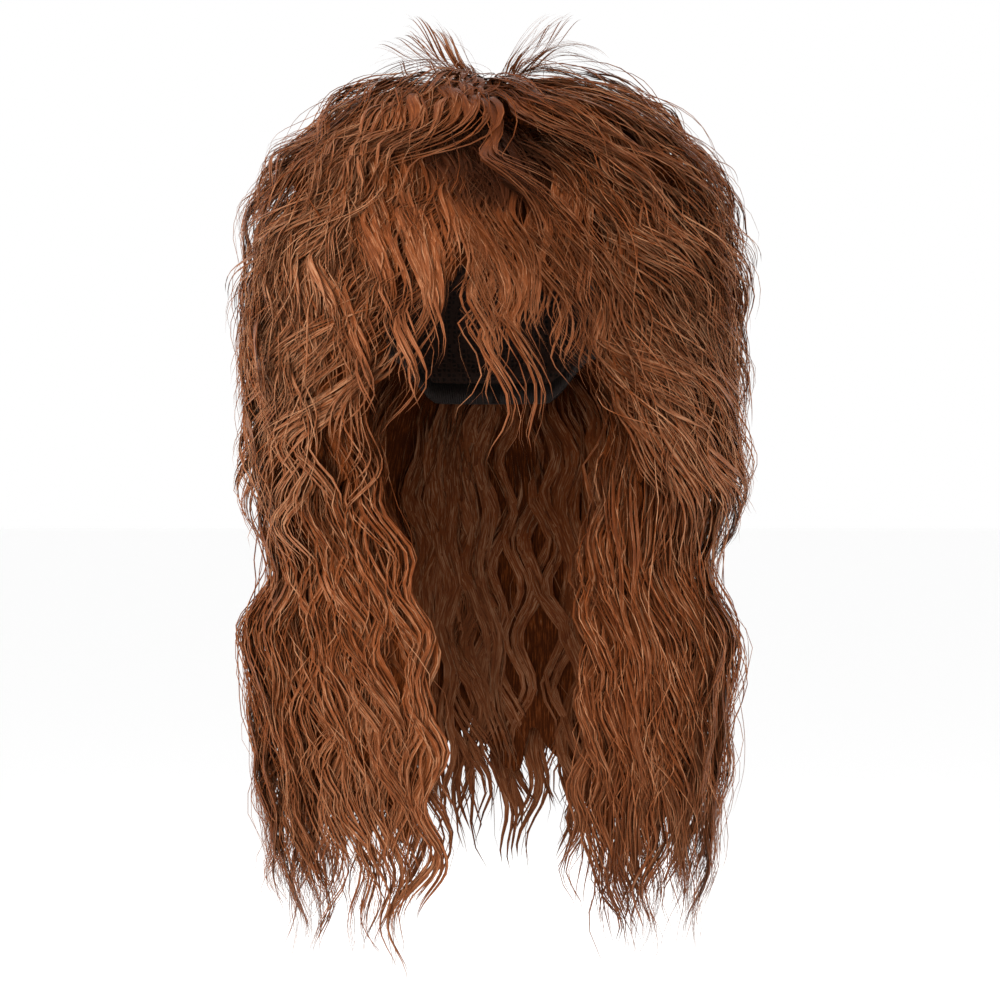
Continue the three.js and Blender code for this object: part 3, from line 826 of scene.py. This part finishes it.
# How locks lie where a piece says nothing else: lengths in metres, turns in degrees, the rest in shares
commonLocks = {
    "samples": 24,
    "waveLength": 0.066,
    "waveHeight": 0.006,
    "lockRadius": 0.008,
    "gather": 0.6,  # how far a lock's strands draw together
    "hanks": 9,
    "hankPull": 0.0,
    "bury": 0.2,
    "rootShade": 1,
    "lean": 0.013,
    "bend": 0.007,
    "outOfStep": 0.6,
    "faceward": 1,  # a power that crowds the locks towards the first edge
    "frontward": 1,
    "frontExtra": 0,
    "inside": 0,  # the share of the locks that lie near the inner side
    "least": 0.08,
    "undershoot": -0.3,  # how far short of the overshoot past the hem some locks end
    "maxLength": 1,
    "uneven": 1,
    "sweep": 0,
    "parting": 0,
    "partedFrom": 0.45,
    # painted shade at the parting: how much darker in tone, and how much lower in level
    "partingPaintedShade": 0,
    "partingShadeDepth": 0,
    "puff": 0,
    "broad": 1.0,
    "pinned": {},
}
layers = {
    **commonLocks,
    "locks": 86,
    "rootTop": 0.08,
    "rootBottom": 0.75,
    "rootPower": 1.15,
    "rootDepth": 0.2,
    "shortness": 0.4,
    "overshoot": 0.12,
    "undershoot": -0.5,
    "maxLength": 0.14,
    "samples": 25,
    "waveHeight": 0.0058,
    "broad": 1.25,
    "flicked": 0.65,
    "flick": 0.3,
    "sweep": 26,
    "faceward": 1.4,
    # painted light: the layers' tone is lighter, where light falls on the middle of the hair
    "tone": 0.5,
}
lengths = {
    **commonLocks,
    "samples": 38,
    "waveLength": 0.067,
    "waveHeight": 0.0046,
    "lockRadius": 0.011,
    "gather": 0.75,
    "hanks": 5,
    "hankPull": 0.6,
    "outOfStep": 0.65,
    "bend": 0.006,
    "rootTop": 0.2,
    "rootBottom": 0.65,
    "rootDepth": 0.22,
    "rootPower": 1.4,
    "shortness": 0.15,
    "overshoot": 0.055,
    "faceward": 1.1,
    "uneven": 0.55,
    "broad": 1.15,
    # painted shade: the lengths' tone is darker, lower down the hair
    "tone": -0.35,
    "flicked": 0.35,
    "flick": 0.15,
}
sideLengths = {**lengths, "locks": 56, "inside": 0.2}
# The masses: how fine they are, how many ridges they have, and how far short of the tier they are held
layerMass = {"rows": 34, "columns": 48, "ridges": 6, "held": 0.03}
lengthMass = {"rows": 36, "columns": 48, "ridges": 6, "held": 0.07, "lining": 0.2, "fill": 0.66}
# The tufts that stand up round the whorl, and the wisps of the fringe: each one's azimuth from the
# face, its run from the whorl, and how far it goes
tuftAzimuth = np.array([-100, -55, 60, 95, 165, -150])
tuftRoot = domeRun * np.array([0.06, 0.1, 0.04, 0.06, 0.1, 0.1])
crownTufts = {
    "across": (tuftAzimuth + 180) / 360,
    "middle": tuftAzimuth,
    "root": tuftRoot,
    "length": domeRun * np.array([0.1, 0.13, 0.11, 0.24, 0.28, 0.3]),
    "arch": np.array([0.02, 0.05, 0.04, 0.2, 0.1, 0.1]),
    "flick": np.array([0.3, 0.2, 0.28, 0.04, 0.1, 0.1]),
    "radius": np.full(6, 0.007),
    "broad": np.full(6, 0.3),
    "tint": np.full(6, 0.4),
}
wispAzimuth = np.array([-34, -27, -18, -9, -1, 10, 21, 32])
wispRoot = domeRun * np.array([0.55, 0.5, 0.46, 0.44, 0.42, 0.44, 0.46, 0.5])
wispReach = np.array([1.15, 1.12, 1.05, 0.88, 1.2, 0.93, 1.02, 1.05])
fringeWisps = {
    "across": (wispAzimuth + form["fringeHalfWidth"]) / (2 * form["fringeHalfWidth"]),
    "middle": wispAzimuth,
    "root": wispRoot,
    "length": runTo(wispReach * form["fringeDrop"]) - wispRoot,
    "depth": np.full(8, 1.05),
    "broad": np.array([1.3, 1.3, 1.2, 0.8, 0.9, 0.8, 1.0, 1.3]),
    "radius": np.array([0.011, 0.011, 0.01, 0.006, 0.007, 0.006, 0.008, 0.011]),
}


def sidePiece(node, side, tier, mass, locks):
    return {"node": node, "tier": tier, "edges": sideEdges(side), "mass": mass, "locks": locks}


hairPieces = {
    "crownLayers": {
        "node": "crown_layers",
        "tier": "crown",
        "edges": fixedEdges(-180, 180),
        "mass": {
            "rows": 26,
            "columns": 136,
            "ridges": 17,
            "held": 0.02,
            "fill": 0.79,
            "points": 0.5,
            "puff": 0.008,
            "tone": -1.7,
        },
        "locks": {
            **commonLocks,
            "locks": 158,
            "bury": 0.13,
            "frontward": 1.02,
            "outOfStep": 1.0,
            "parting": 8,
            "partedFrom": 0.15,
            "frontExtra": 0.055,
            "rootDepth": 0.25,
            "rootShade": 1.2,
            "partingPaintedShade": -2.0,
            "partingShadeDepth": 0.9,
            "puff": 0.02,
            "least": 0.02,
            # partly darker roots, partly painted shade against the light from above: the crown's tone is
            # darker
            "tone": -0.4,
            "rootTop": 0.05,
            "rootBottom": 0.8,
            "rootPower": 0.8,
            "shortness": 0.3,
            "overshoot": 0.11,
            "undershoot": 0.15,
            "maxLength": 0.15,
            "flicked": 0.5,
            "flick": 0.12,
            "sweep": 26,
            "pinned": crownTufts,
        },
    },
    "fringeLocks": {
        "node": "fringe",
        "tier": "fringe",
        "edges": fixedEdges(-form["fringeHalfWidth"], form["fringeHalfWidth"]),
        "mass": {"rows": 22, "columns": 48, "ridges": 8, "held": 0.045, "fill": 0.5, "tone": -2.8},
        "locks": {
            **commonLocks,
            "locks": 72,
            "samples": 30,
            "broad": 0.58,
            # painted shade: the fringe's tone is darker
            "tone": -0.45,
            "partingPaintedShade": -2.2,
            "partingShadeDepth": 2.6,
            "rootTop": 0.0,
            "rootBottom": 0.45,
            "rootPower": 1.5,
            "rootDepth": 0.4,
            "rootShade": 1.6,
            "shortness": 0.3,
            "overshoot": 0.07,
            "undershoot": 0.15,
            "outOfStep": 0.35,
            "bend": 0.003,
            "flicked": 0.3,
            "flick": 0.2,
            "hanks": 7,
            "hankPull": 0.3,
            "sweep": 13,
            "pinned": fringeWisps,
        },
    },
    "sideLayersRight": sidePiece("side_layers_right", -1, "layers", layerMass, layers),
    "sideLayersLeft": sidePiece("side_layers_left", 1, "layers", layerMass, layers),
    "backLayers": {
        "node": "back_layers",
        "tier": "layers",
        "edges": fixedEdges(form["sideEnd"], 360 - form["sideEnd"]),
        "mass": {**layerMass, "columns": 72, "ridges": 8},
        "locks": {**layers, "locks": 106, "flick": 0.18, "sweep": 0, "faceward": 1},
    },
    "sideLengthsRight": sidePiece("side_lengths_right", -1, "lengths", lengthMass, sideLengths),
    "sideLengthsLeft": sidePiece(
        "side_lengths_left", 1, "lengths", lengthMass, {**sideLengths, "overshoot": 0.075}
    ),
    "napeLengths": {
        "node": "nape_lengths",
        "tier": "lengths",
        "edges": fixedEdges(form["sideEnd"], 360 - form["sideEnd"]),
        "mass": {"rows": 36, "columns": 72, "ridges": 8, "held": 0.055, "lining": 0.3, "tone": -2.0},
        "locks": {**lengths, "locks": 86, "inside": 0.5, "hanks": 8, "faceward": 1, "samples": 28},
    },
}

for number, (name, piece) in enumerate(hairPieces.items()):
    tier, plan, edges = tiers[piece["tier"]], piece["locks"], piece["edges"]
    rng = np.random.default_rng(number)
    locks = layLocks(tier, edges, plan, rng)
    massEdges = None if tier is tiers["crown"] else edges  # the crown's mass goes all the way round
    parts = [massBody(tier, massEdges, piece["mass"])]
    for row in zip(*strandSizes.values()):
        parts.append(growStrands(tier, edges, plan, locks, dict(zip(strandSizes, row)), rng))
    made = makePiece(name, parts, [mattedFibre, looseFibre])
    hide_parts(piece["node"])


def capDrop(azimuth):
    return readTable(capEdge, "azimuth", "drop", fromFace(azimuth))


def angleAtDrop(drop):
    return np.arccos((form["headDome"] - drop) / form["headDome"])


def withPlace(part, azimuth, down):
    # gives a part its vertices' places round the head and down it, as makePiece asks
    place = np.stack([np.radians(azimuth) * form["headBreadth"] / 2, down, 0 * down], -1).reshape(-1, 3)
    missing = len(part["vertices"]) - len(place)
    part["fibre"] = np.concatenate([place, np.zeros((missing, 3))])
    part["shade"] = np.zeros_like(part["fibre"])
    part["rim"] = np.zeros(len(part["vertices"]), int)
    return part


capLook = {"rows": 24, "columns": 96, "edgeGap": 0.00035, "poleGap": 0.03}


def makeCap():
    # The cap is the head's ellipsoid down to the band, with a wall: its rings go down the outside and up
    # the inside, between two poles
    azimuth = np.linspace(-180, 180, capLook["columns"], endpoint=False)[None, :]
    share = np.linspace(capLook["poleGap"], 1, capLook["rows"])
    share = np.concatenate([share, share[::-1]])[:, None]
    wall = np.repeat([form["capWall"], 0], capLook["rows"])[:, None]
    edge = angleAtDrop(capDrop(azimuth) - form["bandHeight"] - capLook["edgeGap"])
    points = onHead(azimuth, edge * share, wall)
    poles = onHead(np.zeros(2), np.zeros(2), np.array([form["capWall"], 0]))
    part = closedBodies(points[None], (poles[:1], poles[1:]))
    return withPlace(part, azimuth + 0 * share, share * edge * form["headDome"])


def makeBand():
    # The band is an upright strip of the cap's wall round its edge: four corners carried round the head
    azimuth = np.linspace(-180, 180, capLook["columns"], endpoint=False)[:, None]
    up = form["bandHeight"] * np.array([[0, 0, 1, 1]])
    wall = form["capWall"] * np.array([[0, 1, 1, 0]])
    part = closedBodies(onHead(azimuth, angleAtDrop(capDrop(azimuth) - up), wall)[None], wrap=True)
    return withPlace(part, azimuth + 0 * up, up + 0 * azimuth)


# Warp-knitted stretch net of dyed nylon: dull, with small dark holes in rows
netLook = {
    "thread": "#2b1a12",
    "hole": "#120a06",
    "pitch": 0.0030,  # twice a real net's
    "randomness": 0.35,
    "threadEdge": (0.12, 0.3),  # shares of a hole's size
    "relief": 0.0005,
    "roughness": 0.75,
    "gloss": 0.2,
}


def stretchNet():
    material, tree, shader = newMaterial("knittedNylonNet")
    place = addNode(tree, "ShaderNodeTexCoord").outputs["Object"]
    pattern = {"Vector": place, "Scale": 1 / netLook["pitch"], "Randomness": netLook["randomness"]}
    cells = addNode(tree, "ShaderNodeTexVoronoi", {"feature": "DISTANCE_TO_EDGE"}, pattern)
    start, end = netLook["threadEdge"]
    share = addNode(tree, "ShaderNodeMapRange", inputs={0: cells.outputs["Distance"], 1: start, 2: end})
    raised = {"Height": share.outputs[0], "Distance": netLook["relief"], "Strength": 0.8}
    look = {
        "Base Color": mixColours(tree, share.outputs[0], linear(netLook["thread"]), linear(netLook["hole"])),
        "Normal": addNode(tree, "ShaderNodeBump", {"invert": True}, raised).outputs[0],
        "Roughness": netLook["roughness"],
        "Specular IOR Level": netLook["gloss"],
    }
    setInputs(tree, shader, look)
    return material


# Woven elastic: dull, with ribs across it
elasticLook = {
    "colour": "#1d120c",
    "rib": 0.0016,  # twice a real one's pitch
    "relief": 0.0004,
    "roughness": 0.7,
}
bandPitch = 0.314  # of the wave texture at a scale of 1


def wovenElastic():
    material, tree, shader = newMaterial("wovenElastic")
    place = readAttribute(tree, "fibre")
    ribs = {"Vector": place, "Scale": bandPitch / elasticLook["rib"], "Distortion": 0.0}
    wave = addNode(tree, "ShaderNodeTexWave", {"wave_type": "BANDS", "bands_direction": "X"}, ribs)
    raised = {"Height": wave.outputs["Fac"], "Distance": elasticLook["relief"], "Strength": 0.8}
    look = {
        "Base Color": linear(elasticLook["colour"]),
        "Normal": addNode(tree, "ShaderNodeBump", inputs=raised).outputs[0],
        "Roughness": elasticLook["roughness"],
    }
    setInputs(tree, shader, look)
    return material


for name, make, material, node, slot in (
    ("capNet", makeCap, stretchNet(), "cap", "cap_net"),
    ("capBand", makeBand, wovenElastic(), "cap_band", "cap_elastic"),
):
    made = makePiece(name, [make()], [material])
    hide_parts(node)


# A plain floor, out of the photograph's frame, under an even white surround
floorLook = {"level": -0.62, "reach": 60.0, "colour": "#fcfcfc", "roughness": 0.95}


def makeFloor():
    x, y = floorLook["reach"] * np.array([[-1, -1], [1, -1], [1, 1], [-1, 1]]).T
    mesh = bpy.data.meshes.new("floor")
    mesh.from_pydata(np.stack([x, y, 0 * x + floorLook["level"]], -1).tolist(), [], [[0, 1, 2, 3]])
    material, tree, shader = newMaterial("mattPaper")
    look = {"Base Color": linear(floorLook["colour"]), "Roughness": floorLook["roughness"]}
    setInputs(tree, shader, look)
    mesh.materials.append(material)
    return addObject("floor", mesh)


makeFloor()

# Soft round lights: where each is and how wide in metres, and its watts
studio = {
    "key": {"place": (-1.9, -1.6, -0.2), "size": 1.8, "watts": 72},
    "front": {"place": (-0.3, -2.9, 0.1), "size": 2.2, "watts": 20},
    "fill": {"place": (1.7, -1.2, 0.2), "size": 1.8, "watts": 16},
    "top": {"place": (0.0, 0.3, 1.7), "size": 1.4, "watts": 2},
    "back": {"place": (0.4, 2.2, 0.5), "size": 2.0, "watts": 10},
}
aim = Vector((0.0, 0.0, -0.2))

for name, light in studio.items():
    data = bpy.data.lights.new(name, "AREA")
    data.shape, data.size, data.energy = "DISK", light["size"], light["watts"]
    lamp = addObject(name, data)
    lamp.location = light["place"]
    lamp.rotation_euler = (aim - Vector(light["place"])).to_track_quat("-Z", "Y").to_euler()

world = bpy.data.worlds.new("studioAir")
world.use_nodes = True
world.node_tree.nodes["Background"].inputs[0].default_value = linear("#ffffff")
world.node_tree.nodes["Background"].inputs[1].default_value = 1.0
bpy.context.scene.world = world

# The photograph is taken from the front, level with the middle of the wig, with a long lens
view = {"distance": 2.6, "frameWidth": 0.600, "centreX": 0.0048, "centreZ": -0.206, "sensor": 36}
cameraData = bpy.data.cameras.new("camera")
cameraData.sensor_width = view["sensor"]
cameraData.lens = view["sensor"] * view["distance"] / view["frameWidth"]
camera = addObject("camera", cameraData)
camera.location = (view["centreX"], -view["distance"], view["centreZ"])
camera.rotation_euler = (np.pi / 2, 0, 0)
bpy.context.scene.camera = camera
bpy.context.scene.view_settings.view_transform = "Standard"

print("studio", len(studio), "lights")
